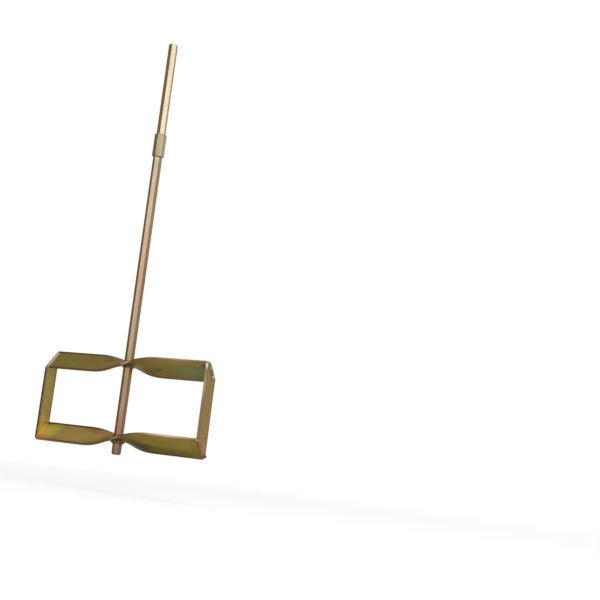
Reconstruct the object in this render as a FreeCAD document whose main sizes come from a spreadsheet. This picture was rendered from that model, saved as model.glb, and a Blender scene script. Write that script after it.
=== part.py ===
import FreeCAD, Part

import math
import os

import Sketcher
from FreeCAD import Placement, Rotation, Vector

# Mortar mixing paddle: a hexagonal drive shank screwed by a coupling nut to a
# hexagonal shaft, which carries a rectangular agitator frame of flat bar.
#
# Frame of reference: +Z runs up the shaft, the origin is the middle of the
# shaft's lower tip, X lies across the frame and Y through it.  The top and
# bottom bars of the frame lie level where the shaft passes through them and
# twist from there to opposite tilts at their two ends, so the frame drives
# the mix like a propeller.  Upright side bars close the frame.

DOC = FreeCAD.newDocument("MixingPaddle")

# ---------------------------------------------------------------- dimensions

SIZES = {
    # hexagonal drive line
    "overall_length": 525.0,      # lower tip to drive end
    "hex_flats": 10.0,            # shank and shaft, across flats
    "nut_height": 375.0,          # lower end of the coupling nut above the tip
    "nut_length": 30.0,
    "nut_flats": 13.0,            # M8 coupling nut, across flats
    "pitch_diameter": 7.2,        # M8 thread, drawn plain at its pitch diameter
    "thread_clearance": 0.05,     # radial, between a stud and the nut
    "stud_length": 14.0,          # threaded end of the shank and of the shaft
    "stud_chamfer": 1.0,
    "seat_gap": 0.05,             # between a bar's shoulder and the nut
    "drive_end_chamfer": 1.0,     # height of the turned crown
    "shank_shoulder_chamfer": 0.5,
    "shaft_shoulder_chamfer": 1.0,
    "tip_chamfer": 1.9,           # lower tip of the shaft, turned at 45 degrees
    "nut_chamfer": 0.9,           # height of the turned crown at each end
    "bore_chamfer": 0.6,
    "shank_turn": 18.0,           # degrees about Z, where the threads lock
    "nut_turn": 7.5,
    # agitator frame
    "frame_span": 242.0,          # over the outer faces of the side bars
    "bottom_bar_height": 18.5,    # middle of the bottom bar above the tip
    "bar_spacing": 91.0,          # middle of the bottom bar to the top bar
    "bar_width": 30.0,            # top and bottom bars
    "bar_thickness": 3.0,
    "bar_tilt": 48.0,             # degrees, of each bar's ends about X
    "side_thickness": 3.0,        # upright side bars
    "edge_break": 0.35,           # softened edges of the flat bar
    "twist_reach": 48.0,          # half the length of a bar that is twisted
    "shaft_hole": 12.0,           # round hole through each twisted bar
    # welds
    "shaft_weld_leg": 4.5,        # fillet round the shaft, up it and out from it
    "slim_weld_leg": 1.8,         # down the shaft, of the flatter fillet under the top bar
    "shaft_weld_rim": 0.3,        # past the shaft's corners, at the fillet's top
    "corner_round_share": 0.95,   # of the thinner bar's thickness
}

TWIST_STEPS = 8                   # spans between the sections of a twisted bar
END_ANGLE = 30                    # degrees from level, of a turned hexagon's end
CUT_MARGIN = "0.5"                # a cutting outline's reach past its stock
SIDES = (("left", -1), ("right", 1))


def make_sheet(sizes):
    """Writes every driving dimension to an aliased cell of the sheet."""
    sheet = DOC.addObject("Spreadsheet::Sheet", "Sizes")
    for row, (alias, value) in enumerate(sizes.items(), start=1):
        sheet.set("A%d" % row, alias)
        sheet.set("B%d" % row, "%g" % value)
        sheet.setAlias("B%d" % row, alias)
    DOC.recompute()
    return sheet


def ref(text):
    """Turns the size names in an expression into references to the sheet."""
    for alias in SIZES:
        text = text.replace("{" + alias + "}", "Sizes." + alias)
    return text


def value_of(item, text):
    """Works out an expression of size names as a plain number."""
    found = item.evalExpression(ref(text))
    return float(getattr(found, "Value", found))


TILT = "({bar_tilt} * 1 deg)"
# A side bar is as wide as the stretch of Y that a tilted bar's end covers.
SIDE_HALF_WIDTH = "({bar_width} / 2 * cos({bar_tilt} * 1 deg))"
TOP_BAR_HEIGHT = "({bottom_bar_height} + {bar_spacing})"
HALF_SPAN = "({frame_span} / 2)"
NUT_TOP = "({nut_height} + {nut_length})"
HEX_CORNER = "({hex_flats} / 2 / cos(30 deg))"
NUT_CORNER = "({nut_flats} / 2 / cos(30 deg))"
STUD_RADIUS = "({pitch_diameter} / 2 - {thread_clearance})"


# ------------------------------------------------------------------- helpers

def new_body(name):
    """Adds an empty body whose label names its file."""
    body = DOC.addObject("PartDesign::Body", name)
    body.Label = name
    return body


def plane_of(body, role):
    """Finds one of the body's own origin planes by its role."""
    for feature in body.Origin.OriginFeatures:
        if feature.Role == role:
            return feature
    raise ValueError("no origin plane %s in %s" % (role, body.Name))


def new_sketch(body, name, role, offset="0", turned="0 deg"):
    """Adds a sketch on an origin plane, moved along and turned about its normal."""
    sketch = body.newObject("Sketcher::SketchObject", body.Name + "_" + name)
    sketch.AttachmentSupport = [(plane_of(body, role), "")]
    sketch.MapMode = "FlatFace"
    sketch.AttachmentOffset = Placement(Vector(0, 0, 0), Rotation(Vector(0, 0, 1), 1.0))
    sketch.setExpression("AttachmentOffset.Base.z", ref(offset))
    sketch.setExpression("AttachmentOffset.Rotation.Angle", ref(turned))
    return sketch


def bind(sketch, text, kind, *where):
    """Adds a dimension to the sketch and binds it to an expression."""
    number = sketch.addConstraint(Sketcher.Constraint(kind, *where, value_of(sketch, text)))
    sketch.setExpression("Constraints[%d]" % number, ref(text))


def place(sketch, geometry, point, position):
    """Holds a point of the sketch at an (x, y) pair of expressions."""
    for kind, coordinate in zip(("DistanceX", "DistanceY"), position):
        bind(sketch, coordinate, kind, -1, 1, geometry, point)


def arc_between(start, end, radius):
    """Makes the arc that bulges to the right of the way from start to end."""
    chord = end - start
    across = Vector(chord.y, -chord.x, 0).normalize()
    rise = radius - math.sqrt(radius ** 2 - (chord.Length / 2) ** 2)
    return Part.Arc(start, (start + end) / 2 + across * rise, end)


def draw_outline(sketch, corners):
    """Draws a closed outline through corners given as expression pairs.

    A corner with a third expression starts a round stretch of that radius,
    which bulges to the right of the way to the next corner.
    """
    points = [Vector(*(value_of(sketch, coordinate) for coordinate in corner[:2])) for corner in corners]
    count = len(corners)
    for i, corner in enumerate(corners):
        start, end = points[i], points[(i + 1) % count]
        if len(corner) > 2:
            edge = arc_between(start, end, value_of(sketch, corner[2]))
        else:
            edge = Part.LineSegment(start, end)
        sketch.addGeometry(edge, False)
    for i, corner in enumerate(corners):
        sketch.addConstraint(Sketcher.Constraint("Coincident", i, 2, (i + 1) % count, 1))
        place(sketch, i, 1, corner[:2])
        if len(corner) > 2:
            bind(sketch, corner[2], "Radius", i)


def draw_circle(sketch, diameter):
    """Draws a circle about the sketch's origin."""
    circle = sketch.addGeometry(Part.Circle(Vector(0, 0, 0), Vector(0, 0, 1), 1.0), False)
    sketch.addConstraint(Sketcher.Constraint("Coincident", circle, 3, -1, 1))
    bind(sketch, diameter, "Diameter", circle)


def draw_hexagon(sketch, corner_radius):
    """Draws a regular hexagon with two flats facing the sketch's X axis."""
    corners = [("%s * cos(%d deg)" % (corner_radius, angle), "%s * sin(%d deg)" % (corner_radius, angle))
               for angle in range(30, 390, 60)]
    draw_outline(sketch, corners)


def pad(body, sketch, length, reverse=False, midplane=False):
    """Pads a sketch by an expression's length."""
    feature = body.newObject("PartDesign::Pad", sketch.Name + "_pad")
    feature.Profile = sketch
    feature.Reversed = reverse
    feature.Midplane = midplane
    feature.setExpression("Length", ref(length))
    return feature


def turn(body, sketch, kind):
    """Revolves or grooves a sketch about its own Y axis."""
    feature = body.newObject("PartDesign::" + kind, sketch.Name + "_turn")
    feature.Profile = sketch
    feature.ReferenceAxis = (sketch, ["V_Axis"])
    feature.Angle = 360.0
    return feature


def turned_end(body, name, level, corner_radius, depth, upward, angle=END_ANGLE):
    """Turns a crowned end on a hexagonal bar, about so many degrees from level.

    The crown is part of a ball on the axis.  It runs from the rim of the flat
    that is left on the end to the corners of the hexagon, a depth further on.
    """
    back = "-" if upward else "+"
    rim = "(%s - %s / tan(%d deg))" % (corner_radius, depth, angle)
    rise = "((%s^2 - %s^2 + %s^2) / (2 * %s))" % (corner_radius, rim, depth, depth)
    crown = "sqrt(%s^2 + %s^2)" % (rim, rise)
    outer = "(%s + %s)" % (corner_radius, CUT_MARGIN)
    past = "%s %s (%s - sqrt(%s^2 + %s^2 - %s^2))" % (level, back, rise, rim, rise, outer)
    sketch = new_sketch(body, name, "XZ_Plane")
    if upward:
        corners = [(outer, past, crown), (rim, level), (outer, level)]
    else:
        corners = [(rim, level, crown), (outer, past), (outer, level)]
    draw_outline(sketch, corners)
    return turn(body, sketch, "Groove")


def chamfered_stud(body, name, level, upward):
    """Adds the plain cylinder of a threaded stud with a chamfered end."""
    sign = "+" if upward else "-"
    end = "%s %s {stud_length}" % (level, sign)
    sketch = new_sketch(body, name, "XZ_Plane")
    draw_outline(sketch, [
        ("0", level),
        (STUD_RADIUS, level),
        (STUD_RADIUS, "%s %s ({stud_length} - {stud_chamfer})" % (level, sign)),
        (STUD_RADIUS + " - {stud_chamfer}", end),
        ("0", end),
    ])
    return turn(body, sketch, "Revolution")


def placed_at(part, height="0", turned="0 deg", axis=Vector(0, 0, 1)):
    """Binds a part's height and its turn about one axis to expressions."""
    part.Placement = Placement(Vector(0, 0, 0), Rotation(axis, 1.0))
    part.setExpression("Placement.Base.z", ref(height))
    part.setExpression("Placement.Rotation.Angle", ref(turned))


# ---------------------------------------------------------------- drive line

def make_upper_shank():
    """Hexagonal drive shank: chuck end above, threaded stud below."""
    shoulder = "(%s + {seat_gap})" % NUT_TOP
    body = new_body("upper_shank")
    hexagon = new_sketch(body, "hexagon", "XY_Plane", shoulder)
    draw_hexagon(hexagon, HEX_CORNER)
    pad(body, hexagon, "{overall_length} - %s" % shoulder)
    chamfered_stud(body, "stud", shoulder, upward=False)
    turned_end(body, "drive_end", "{overall_length}", HEX_CORNER, "{drive_end_chamfer}", upward=True)
    turned_end(body, "shoulder", shoulder, HEX_CORNER, "{shank_shoulder_chamfer}", upward=False)
    placed_at(body, turned="{shank_turn} * 1 deg")
    return body


def make_coupling_nut():
    """Long hexagonal nut that joins the shank to the shaft."""
    body = new_body("coupling_nut")
    hexagon = new_sketch(body, "hexagon", "XY_Plane", "{nut_height}")
    draw_hexagon(hexagon, NUT_CORNER)
    pad(body, hexagon, "{nut_length}")
    turned_end(body, "top_crown", NUT_TOP, NUT_CORNER, "{nut_chamfer}", upward=True)
    turned_end(body, "bottom_crown", "{nut_height}", NUT_CORNER, "{nut_chamfer}", upward=False)
    bore = new_sketch(body, "bore", "XZ_Plane")
    draw_outline(bore, [
        ("0", "{nut_height}"),
        ("{pitch_diameter} / 2 + {bore_chamfer}", "{nut_height}"),
        ("{pitch_diameter} / 2", "{nut_height} + {bore_chamfer}"),
        ("{pitch_diameter} / 2", NUT_TOP + " - {bore_chamfer}"),
        ("{pitch_diameter} / 2 + {bore_chamfer}", NUT_TOP),
        ("0", NUT_TOP),
    ])
    turn(body, bore, "Groove")
    placed_at(body, turned="{nut_turn} * 1 deg")
    return body


def make_lower_shaft():
    """Hexagonal shaft of the agitator: tip below, threaded stud above."""
    shoulder = "({nut_height} - {seat_gap})"
    body = new_body("lower_shaft")
    hexagon = new_sketch(body, "hexagon", "XY_Plane")
    draw_hexagon(hexagon, HEX_CORNER)
    pad(body, hexagon, shoulder)
    chamfered_stud(body, "stud", shoulder, upward=True)
    turned_end(body, "tip", "0", HEX_CORNER, "{tip_chamfer}", upward=False, angle=45)
    turned_end(body, "shoulder", shoulder, HEX_CORNER, "{shaft_shoulder_chamfer}", upward=True)
    return body


# ------------------------------------------------------------ agitator frame

def twist_share(u):
    """Share of the full tilt at u times the twist's reach from the shaft.

    The cubic leaves the flat ends with no kink and is steepest at the shaft.
    """
    return 1.5 * u - 0.5 * u ** 3


def bar_section(body, name, u):
    """Draws the bar's cross-section at u times the twist's reach."""
    turned = "-%s * (%g)" % (TILT, twist_share(u))
    sketch = new_sketch(body, name, "YZ_Plane", "%g * {twist_reach}" % u, turned)
    half_width = "{bar_width} / 2"
    half_thickness = "{bar_thickness} / 2"
    corners = []
    for across, along in (("-", "-"), ("", "-"), ("", ""), ("-", "")):
        near_edge = ("%s(%s)" % (across, half_width), "%s(%s - {edge_break})" % (along, half_thickness))
        near_face = ("%s(%s - {edge_break})" % (across, half_width), "%s(%s)" % (along, half_thickness))
        edge_first = (across == "-") == (along == "-")
        corners += [near_edge, near_face] if edge_first else [near_face, near_edge]
    draw_outline(sketch, corners)
    return sketch


def make_twisted_bar(name, height):
    """Flat bar, level at the shaft and tilted opposite ways at its ends."""
    body = new_body(name)
    shares = [2.0 * i / TWIST_STEPS - 1.0 for i in range(TWIST_STEPS + 1)]
    sections = [bar_section(body, "section%d" % i, u) for i, u in enumerate(shares)]
    loft = body.newObject("PartDesign::AdditiveLoft", name + "_twist")
    loft.Profile = sections[0]
    loft.Sections = sections[1:]
    loft.Ruled = False
    flat = HALF_SPAN + " - {side_thickness} - {twist_reach}"
    pad(body, sections[0], flat, reverse=True)
    pad(body, sections[-1], flat)
    hole = new_sketch(body, "hole", "XY_Plane")
    draw_circle(hole, "{shaft_hole}")
    pocket = body.newObject("PartDesign::Pocket", name + "_hole")
    pocket.Profile = hole
    pocket.Midplane = True
    pocket.setExpression("Length", ref("{bar_width}"))
    placed_at(body, height)
    return body


def make_side_bar(name, side):
    """Upright flat bar between the ends of the top and bottom bars.

    Its ends are cut to the tilt of those bars, with a small tab that laps the
    edge of the top bar on one side and of the bottom bar on the other.
    """
    out = "" if side < 0 else "-"
    slope = "tan(%s)" % TILT
    rise = "{bar_thickness} / 2 / cos(%s)" % TILT
    notch = "(%s - {bar_thickness} / 2 * sin(%s))" % (SIDE_HALF_WIDTH, TILT)
    body = new_body(name)
    start = "-" + HALF_SPAN if side < 0 else HALF_SPAN + " - {side_thickness}"
    outline = new_sketch(body, "outline", "YZ_Plane", start)
    lower, upper = "{bottom_bar_height}", TOP_BAR_HEIGHT
    draw_outline(outline, [
        ("-%s%s" % (out, SIDE_HALF_WIDTH), "%s + %s - %s * %s" % (lower, rise, SIDE_HALF_WIDTH, slope)),
        (out + notch, "%s + %s + %s * %s" % (lower, rise, notch, slope)),
        (out + SIDE_HALF_WIDTH, "%s + %s * %s" % (lower, SIDE_HALF_WIDTH, slope)),
        (out + SIDE_HALF_WIDTH, "%s - %s + %s * %s" % (upper, rise, SIDE_HALF_WIDTH, slope)),
        ("-%s%s" % (out, notch), "%s - %s - %s * %s" % (upper, rise, notch, slope)),
        ("-%s%s" % (out, SIDE_HALF_WIDTH), "%s - %s * %s" % (upper, SIDE_HALF_WIDTH, slope)),
    ])
    pad(body, outline, "{side_thickness}")
    return body


# --------------------------------------------------------------------- welds

def make_shaft_weld(name, height, lower_leg, bar, shaft):
    """Weld round the shaft: a fillet on each face of a twisted bar.

    The two fillets meet through the hole in the bar, so they are one piece.
    It is turned whole and then trimmed to the bar and the shaft.  The lower
    leg is how far the fillet under the bar runs down the shaft.
    """
    raw = new_body(name + "_raw")
    profile = new_sketch(raw, "profile", "XZ_Plane")
    foot = HEX_CORNER + " + {shaft_weld_leg}"
    rim = HEX_CORNER + " + {shaft_weld_rim}"
    top = "{bar_thickness} / 2 + {shaft_weld_leg}"
    bottom = "-{bar_thickness} / 2 - " + lower_leg
    draw_outline(profile, [("0", bottom), (rim, bottom), (foot, "0"), (rim, top), ("0", top)])
    turn(raw, profile, "Revolution")
    placed_at(raw, height)
    neighbours = DOC.addObject("Part::MultiFuse", name + "_neighbours")
    neighbours.Shapes = [bar, shaft]
    weld = DOC.addObject("Part::Cut", name)
    weld.Label = name
    weld.Base = raw
    weld.Tool = neighbours
    return weld


def edge_at(shape, x, z):
    """Names the edge along Y of a shape that lies nearest to a place in XZ."""
    def distance(item):
        middle = item[1].CenterOfMass
        return abs(middle.x - x) + abs(middle.z - z) + abs(middle.y)
    number, _ = min(enumerate(shape.Edges, start=1), key=distance)
    return "Edge%d" % number


def make_corner_weld(name, side, height, upward):
    """Weld filling the open corner between a twisted bar and a side bar.

    It is dressed to a round along the frame's outer edge.
    """
    weld = new_body(name)
    out = "-" if side < 0 else ""
    up = "" if upward else "-"
    profile = new_sketch(weld, "profile", "XZ_Plane")
    inner_x = "%s(%s - {side_thickness})" % (out, HALF_SPAN)
    outer_x = "%s%s" % (out, HALF_SPAN)
    half_thickness = "{bar_thickness} / 2"
    draw_outline(profile, [
        (inner_x, "-" + half_thickness),
        (outer_x, "-" + half_thickness),
        (outer_x, half_thickness),
        (inner_x, half_thickness),
    ])
    block = pad(weld, profile, "{bar_width}", midplane=True)
    DOC.recompute()
    rounding = weld.newObject("PartDesign::Fillet", name + "_round")
    outer_edge = edge_at(block.Shape, value_of(weld, outer_x), value_of(weld, up + half_thickness))
    rounding.Base = (block, [outer_edge])
    rounding.setExpression("Radius", ref("{corner_round_share} * min({bar_thickness}; {side_thickness})"))
    placed_at(weld, height, "%+d * %s" % (-side, TILT), Vector(1, 0, 0))
    return weld


def build():
    """Builds every sub-part in order and returns the finished ones."""
    make_sheet(SIZES)
    shaft = make_lower_shaft()
    parts = [make_upper_shank(), make_coupling_nut(), shaft]
    parts += [make_side_bar(word + "_side_bar", side) for word, side in SIDES]
    levels = (
        ("top", TOP_BAR_HEIGHT, "{slim_weld_leg}"),
        ("bottom", "{bottom_bar_height}", "{shaft_weld_leg}"),
    )
    for level, height, lower_leg in levels:
        bar = make_twisted_bar(level + "_bar", height)
        parts += [bar, make_shaft_weld(level + "_bar_weld", height, lower_leg, bar, shaft)]
        for word, side in SIDES:
            name = "%s_%s_corner_weld" % (level, word)
            parts.append(make_corner_weld(name, side, height, upward=level == "top"))
    DOC.recompute()
    return parts


def check(parts):
    """Stops the build if any object failed or any sub-part isn't sound."""
    for item in DOC.Objects:
        if {"Invalid", "Error"} & set(item.State):
            raise RuntimeError("%s failed: %s" % (item.Name, item.State))
    for part in parts:
        if part.Shape.isNull() or not part.Shape.isValid():
            raise RuntimeError("%s has no sound shape" % part.Label)


def export(parts):
    """Writes each sub-part to a file named after its label."""
    os.makedirs("parts", exist_ok=True)
    for part in parts:
        part.Shape.exportStep(os.path.join("parts", part.Label + ".step"))


def describe(parts):
    """Prints each sub-part's solids, volume and box."""
    for part in parts:
        part.Shape.tessellate(0.1)
        box = part.Shape.BoundBox
        print("%-26s solids %d  volume %9.1f  x %7.1f..%6.1f  y %6.1f..%5.1f  z %6.1f..%6.1f" % (
            part.Label, len(part.Shape.Solids), part.Shape.Volume,
            box.XMin, box.XMax, box.YMin, box.YMax, box.ZMin, box.ZMax))


finished = build()
check(finished)
export(finished)
describe(finished)
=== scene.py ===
import logging
import math
from collections.abc import Callable, Mapping, Sequence
from dataclasses import dataclass, field
from enum import Enum

import bpy
from mathutils import Euler, Matrix, Vector, noise


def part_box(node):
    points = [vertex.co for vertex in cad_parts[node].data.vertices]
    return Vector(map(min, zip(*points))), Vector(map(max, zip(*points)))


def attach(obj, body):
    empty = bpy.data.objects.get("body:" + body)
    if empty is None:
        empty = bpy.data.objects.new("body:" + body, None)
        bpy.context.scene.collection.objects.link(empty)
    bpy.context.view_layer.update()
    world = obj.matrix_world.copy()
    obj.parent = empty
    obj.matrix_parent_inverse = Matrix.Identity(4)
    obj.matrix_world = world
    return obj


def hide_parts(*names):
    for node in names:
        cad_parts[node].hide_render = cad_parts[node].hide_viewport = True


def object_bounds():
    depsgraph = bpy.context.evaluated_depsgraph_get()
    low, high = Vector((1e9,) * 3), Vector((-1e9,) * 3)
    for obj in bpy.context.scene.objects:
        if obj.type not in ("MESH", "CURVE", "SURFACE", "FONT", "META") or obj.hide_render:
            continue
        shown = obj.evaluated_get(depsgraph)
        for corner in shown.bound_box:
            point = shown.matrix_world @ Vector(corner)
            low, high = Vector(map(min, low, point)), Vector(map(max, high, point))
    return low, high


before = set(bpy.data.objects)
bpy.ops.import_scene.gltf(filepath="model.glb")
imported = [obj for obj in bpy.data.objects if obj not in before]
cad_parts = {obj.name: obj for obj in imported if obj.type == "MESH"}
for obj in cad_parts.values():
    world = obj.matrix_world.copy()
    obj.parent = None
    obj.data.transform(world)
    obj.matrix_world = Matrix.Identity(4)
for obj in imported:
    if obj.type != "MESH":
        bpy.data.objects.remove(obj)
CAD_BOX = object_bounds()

# Looks of a mortar mixing paddle: yellow-passivated steel on its CAD frame.
# All lengths are metres in the frame of the CAD: +Z up the shaft, X across
# the agitator frame, Y through it, and the origin at the shaft's lower tip.

LOG = logging.getLogger("paddle")
MM = 0.001
BAR_FLATS = 10 * MM  # the shank's and the shaft's width across flats
ROLLED_PATCHES = 0.45  # how much shorter a rolled bar is where broad patches are read
ROLLED_STREAKS = 0.10  # how much shorter it is where streaks are read
DRAWN_STREAKS = 0.03  # how much shorter a drawn bar is where streaks are read

Colour = tuple[float, float, float, float]


def shade(red: int, green: int, blue: int) -> Colour:
    """Turns a display colour, 0 to 255 a channel, into a linear one.

    Args:
        red: Red channel.
        green: Green channel.
        blue: Blue channel.

    Returns:
        The linear colour with full alpha.
    """
    def linear(channel: int) -> float:
        """Undoes the display curve of one channel."""
        share = channel / 255.0
        return share / 12.92 if share <= 0.04045 else ((share + 0.055) / 1.055) ** 2.4
    return (linear(red), linear(green), linear(blue), 1.0)


# ------------------------------------------------------------- shader writing

class Signal:
    """A value on a shader socket that takes part in ordinary arithmetic."""

    def __init__(self, book: "NodeBook", socket: bpy.types.NodeSocket) -> None:
        """Wraps a socket of the book's tree."""
        self.book = book
        self.socket = socket

    def _math(self, operation: str, *operands: "Signal | float") -> "Signal":
        """Adds one Math node.

        Args:
            operation: The node's operation.
            operands: Its inputs in order.

        Returns:
            The result as a signal.
        """
        inputs = dict(enumerate(operands))
        made = self.book.node("ShaderNodeMath", {"operation": operation}, inputs)
        return Signal(self.book, made.outputs[0])

    def __add__(self, other: "Signal | float") -> "Signal":
        """Adds."""
        return self._math("ADD", self, other)

    def __radd__(self, other: float) -> "Signal":
        """Adds to a number."""
        return self._math("ADD", other, self)

    def __sub__(self, other: "Signal | float") -> "Signal":
        """Subtracts."""
        return self._math("SUBTRACT", self, other)

    def __rsub__(self, other: float) -> "Signal":
        """Subtracts from a number."""
        return self._math("SUBTRACT", other, self)

    def __mul__(self, other: "Signal | float") -> "Signal":
        """Multiplies."""
        return self._math("MULTIPLY", self, other)

    def __rmul__(self, other: float) -> "Signal":
        """Multiplies a number."""
        return self._math("MULTIPLY", other, self)

    def __neg__(self) -> "Signal":
        """Changes the sign."""
        return self._math("MULTIPLY", self, -1.0)

    def __abs__(self) -> "Signal":
        """Drops the sign."""
        return self._math("ABSOLUTE", self)

    def sine(self) -> "Signal":
        """Takes the sine of an angle in radians."""
        return self._math("SINE", self)

    def cosine(self) -> "Signal":
        """Takes the cosine of an angle in radians."""
        return self._math("COSINE", self)

    def most(self, other: "Signal | float") -> "Signal":
        """Keeps the larger of two."""
        return self._math("MAXIMUM", self, other)

    def least(self, other: "Signal | float") -> "Signal":
        """Keeps the smaller of two."""
        return self._math("MINIMUM", self, other)

    def rise(self, low: float, high: float) -> "Signal":
        """Rises smoothly from 0 at low to 1 at high.

        Args:
            low: Where the rise starts.
            high: Where it ends, above or below the start.

        Returns:
            The share between 0 and 1.
        """
        made = self.book.node(
            "ShaderNodeMapRange", {"interpolation_type": "SMOOTHSTEP"},
            {"Value": self, "From Min": low, "From Max": high})
        return Signal(self.book, made.outputs[0])


class NodeBook:
    """Writes nodes into one shader tree."""

    def __init__(self, tree: bpy.types.NodeTree) -> None:
        """Starts an empty tree."""
        self.tree = tree
        tree.nodes.clear()

    def node(
        self, kind: str, settings: Mapping[str, object] | None = None,
        inputs: Mapping[str | int, object] | None = None,
    ) -> bpy.types.Node:
        """Adds a node, sets it up and joins its inputs.

        Args:
            kind: The node's type.
            settings: Its properties, set first; "stops" fills a colour ramp.
            inputs: Values, sockets or signals by socket name or number.

        Returns:
            The node.
        """
        made = self.tree.nodes.new(kind)
        for key, value in (settings or {}).items():
            if key == "stops":
                self._fill_ramp(made.color_ramp, value)
            else:
                setattr(made, key, value)
        for key, value in (inputs or {}).items():
            self._join(made.inputs[key], value)
        return made

    @staticmethod
    def _fill_ramp(ramp: bpy.types.ColorRamp, stops: Sequence[tuple[float, Colour]]) -> None:
        """Gives a ramp its stops.

        Args:
            ramp: The ramp, which starts with two stops.
            stops: Places from 0 to 1 and their colours.
        """
        for _ in stops[2:]:
            ramp.elements.new(0.5)
        for element, (position, colour) in zip(ramp.elements, stops):
            element.position = position
            element.color = colour

    def _join(self, socket: bpy.types.NodeSocket, value: object) -> None:
        """Links a socket or signal to an input, or sets the input's value.

        Args:
            socket: The input.
            value: What it gets.
        """
        if isinstance(value, Signal):
            value = value.socket
        if isinstance(value, bpy.types.NodeSocket):
            self.tree.links.new(value, socket)
        else:
            socket.default_value = value

    def place(self) -> bpy.types.NodeSocket:
        """Gives the place on the piece, in the frame of the CAD at rest."""
        return self.node("ShaderNodeTexCoord").outputs["Object"]

    def split(self, vector: bpy.types.NodeSocket) -> list[Signal]:
        """Takes a vector apart.

        Args:
            vector: The vector's socket.

        Returns:
            Its three parts.
        """
        made = self.node("ShaderNodeSeparateXYZ", None, {0: vector})
        return [Signal(self, part) for part in made.outputs]

    def vector(self, *parts: Signal | float) -> bpy.types.NodeSocket:
        """Puts a vector together from three parts."""
        return self.node("ShaderNodeCombineXYZ", None, dict(enumerate(parts))).outputs[0]

    def scaled(self, vector: bpy.types.NodeSocket, scale: Sequence[float]) -> bpy.types.NodeSocket:
        """Scales each part of a vector by its own number."""
        made = self.node("ShaderNodeVectorMath", {"operation": "MULTIPLY"}, {0: vector, 1: scale})
        return made.outputs[0]

    def distance(self, vector: bpy.types.NodeSocket, point: Sequence[float]) -> Signal:
        """Measures how far a place is from a fixed point."""
        made = self.node("ShaderNodeVectorMath", {"operation": "DISTANCE"}, {0: vector, 1: point})
        return Signal(self, made.outputs["Value"])

    def length(self, first: Signal, second: Signal) -> Signal:
        """Measures the diagonal of two distances."""
        made = self.node(
            "ShaderNodeVectorMath", {"operation": "LENGTH"}, {0: self.vector(first, second)})
        return Signal(self, made.outputs["Value"])

    def clouds(
        self, vector: bpy.types.NodeSocket, scale: float, detail: float, roughness: float,
    ) -> Signal:
        """Makes soft noise from 0 to 1.

        Args:
            vector: Where the noise is read.
            scale: Its features to the metre.
            detail: Its number of octaves.
            roughness: The strength of the finer octaves.

        Returns:
            The noise, about 0.5 on average.
        """
        made = self.node("ShaderNodeTexNoise", None, {
            "Vector": vector, "Scale": scale, "Detail": detail, "Roughness": roughness})
        return Signal(self, made.outputs[0])

    def mix(self, share: Signal | float, first: object, second: object) -> bpy.types.NodeSocket:
        """Mixes two colours.

        Args:
            share: How much of the second colour.
            first: The first colour.
            second: The second colour.

        Returns:
            The mixed colour's socket.
        """
        made = self.node("ShaderNodeMix", {"data_type": "RGBA"}, {0: share, 6: first, 7: second})
        return made.outputs[2]


def new_material(name: str) -> tuple[bpy.types.Material, NodeBook]:
    """Starts a material with an empty tree.

    Args:
        name: Its name.

    Returns:
        The material, and the writer of its tree.
    """
    material = bpy.data.materials.new(name)
    material.use_nodes = True
    return material, NodeBook(material.node_tree)


# ------------------------------------------------------------------- finishes

@dataclass(frozen=True)
class Grain:
    """How a piece was rolled or drawn: its own coordinates on the surface.

    Attributes:
        place: Place on the piece, where broad patches of colour are read.
        along: Distance along the piece.
        across: Distance across it.
        fibres: Place squeezed along the piece, where streaks are read.
        rim: 0 on the faces and 1 on the narrow edges or the corners.
        soil_and_shade: 0 on the faces, rising beside the edges or the corners, where the plate darkens
            with dirt and with painted shade.
    """

    place: bpy.types.NodeSocket
    along: Signal
    across: Signal
    fibres: bpy.types.NodeSocket
    rim: Signal
    soil_and_shade: Signal


@dataclass(frozen=True)
class Tint:
    """An oval patch of another colour on the plate; some patches are painted highlights, some painted
    shade.

    Attributes:
        along: Its middle along the piece.
        across: Its middle across the piece.
        length: Half its length.
        width: Half its width.
        colour: Its colour.
        strength: How much of that colour shows in its middle.
    """

    along: float
    across: float
    length: float
    width: float
    colour: Colour
    strength: float = 0.7

    def over(
        self, book: NodeBook, colour: bpy.types.NodeSocket, along: Signal, across: Signal,
        wander: Signal,
    ) -> bpy.types.NodeSocket:
        """Lays the patch over a colour.

        Args:
            book: The tree's writer.
            colour: The colour beneath.
            along: Distance along the piece.
            across: Distance across it.
            wander: How far the patch's rim strays, in shares of the patch's size.

        Returns:
            The colour with the patch on it.
        """
        reach = book.length(
            (along - self.along) * (1.0 / self.length), (across - self.across) * (1.0 / self.width))
        cover = (reach + wander).rise(1.1, 0.2)
        return book.mix(cover * self.strength, colour, self.colour)


def patches(
    *rows: tuple[float, float, float, float, tuple[int, int, int], float],
) -> tuple[Tint, ...]:
    """Lists patches of a bar.

    Args:
        rows: Of each, middle along and across, half length and half width in
            millimetres, display colour and strength.

    Returns:
        The patches.
    """
    return tuple(
        Tint(along * MM, across * MM, length * MM, width * MM, shade(*colour), strength)
        for along, across, length, width, colour, strength in rows)


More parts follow.
